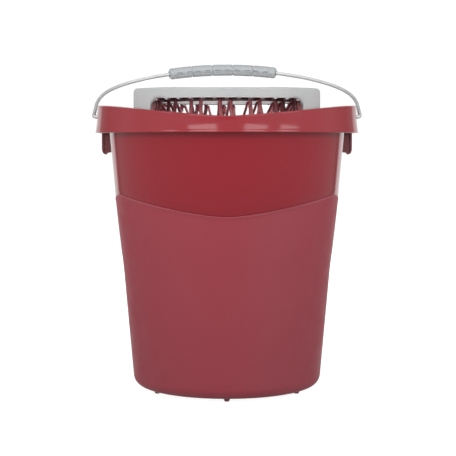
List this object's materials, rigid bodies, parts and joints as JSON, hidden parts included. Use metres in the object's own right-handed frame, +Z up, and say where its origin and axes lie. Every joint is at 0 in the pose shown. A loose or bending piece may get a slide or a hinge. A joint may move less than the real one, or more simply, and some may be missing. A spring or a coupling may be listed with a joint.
{
  "type": "mop bucket with wringer",
  "caption": "Round plastic mop bucket with a wavy collar, a wire bail with a grip, and a lift-out cone wringer of bent fingers in a grey frame.",
  "frame": {"origin": "on the floor, on the bucket's axis", "axes": "+Z up along the bucket's axis, front towards -Y, bail pivots on the X axis's sides"},
  "size_m": [0.2966, 0.2872, 0.3628],
  "materials": {
    "bucket_red": "glossy burgundy moulding with a matte lower panel",
    "finger_red": "burgundy moulding",
    "wringer_grey": "satin light grey moulding",
    "grip_grey": "satin light grey moulding",
    "bail_steel": "zinc-plated wire"
  },
  "bodies": {
    "bucket": {"bucket_shell": "bucket_red"},
    "bail": {"bail_wire": "bail_steel"},
    "grip": {"grip_upper": "grip_grey", "grip_lower": "grip_grey"},
    "wringer": {"wringer_frame": "wringer_grey", "basket_ring": "finger_red", "finger_01": "finger_red", "finger_02": "finger_red", "finger_03": "finger_red", "finger_04": "finger_red", "finger_05": "finger_red", "finger_06": "finger_red", "finger_07": "finger_red", "finger_08": "finger_red", "finger_09": "finger_red", "finger_10": "finger_red", "finger_11": "finger_red", "finger_12": "finger_red", "finger_13": "finger_red", "finger_14": "finger_red", "finger_15": "finger_red", "finger_16": "finger_red", "finger_17": "finger_red", "finger_18": "finger_red", "finger_19": "finger_red", "finger_20": "finger_red", "finger_21": "finger_red", "finger_22": "finger_red", "finger_23": "finger_red", "finger_24": "finger_red", "finger_25": "finger_red", "finger_26": "finger_red", "finger_27": "finger_red", "finger_28": "finger_red", "finger_29": "finger_red", "finger_30": "finger_red", "finger_31": "finger_red", "finger_32": "finger_red", "basket_cup": "finger_red"}
  },
  "joints": [
    {"name": "bail_swing", "type": "hinge", "parent": "bucket", "child": "bail", "pos_m": [0, 0, 0.2978], "axis": [1, 0, 0], "range_deg": [-21, 154]},
    {"name": "grip_slide", "type": "hinge", "parent": "bail", "child": "grip", "pos_m": [0, -0.02272, 0.28792], "axis": [0, -0.3987, 0.9171], "range_deg": [-3.6, 0]},
    {"name": "wringer_lift", "type": "slide", "parent": "bucket", "child": "wringer", "axis": [0, 0, 1], "range_m": [0, 0.27]}
  ]
}
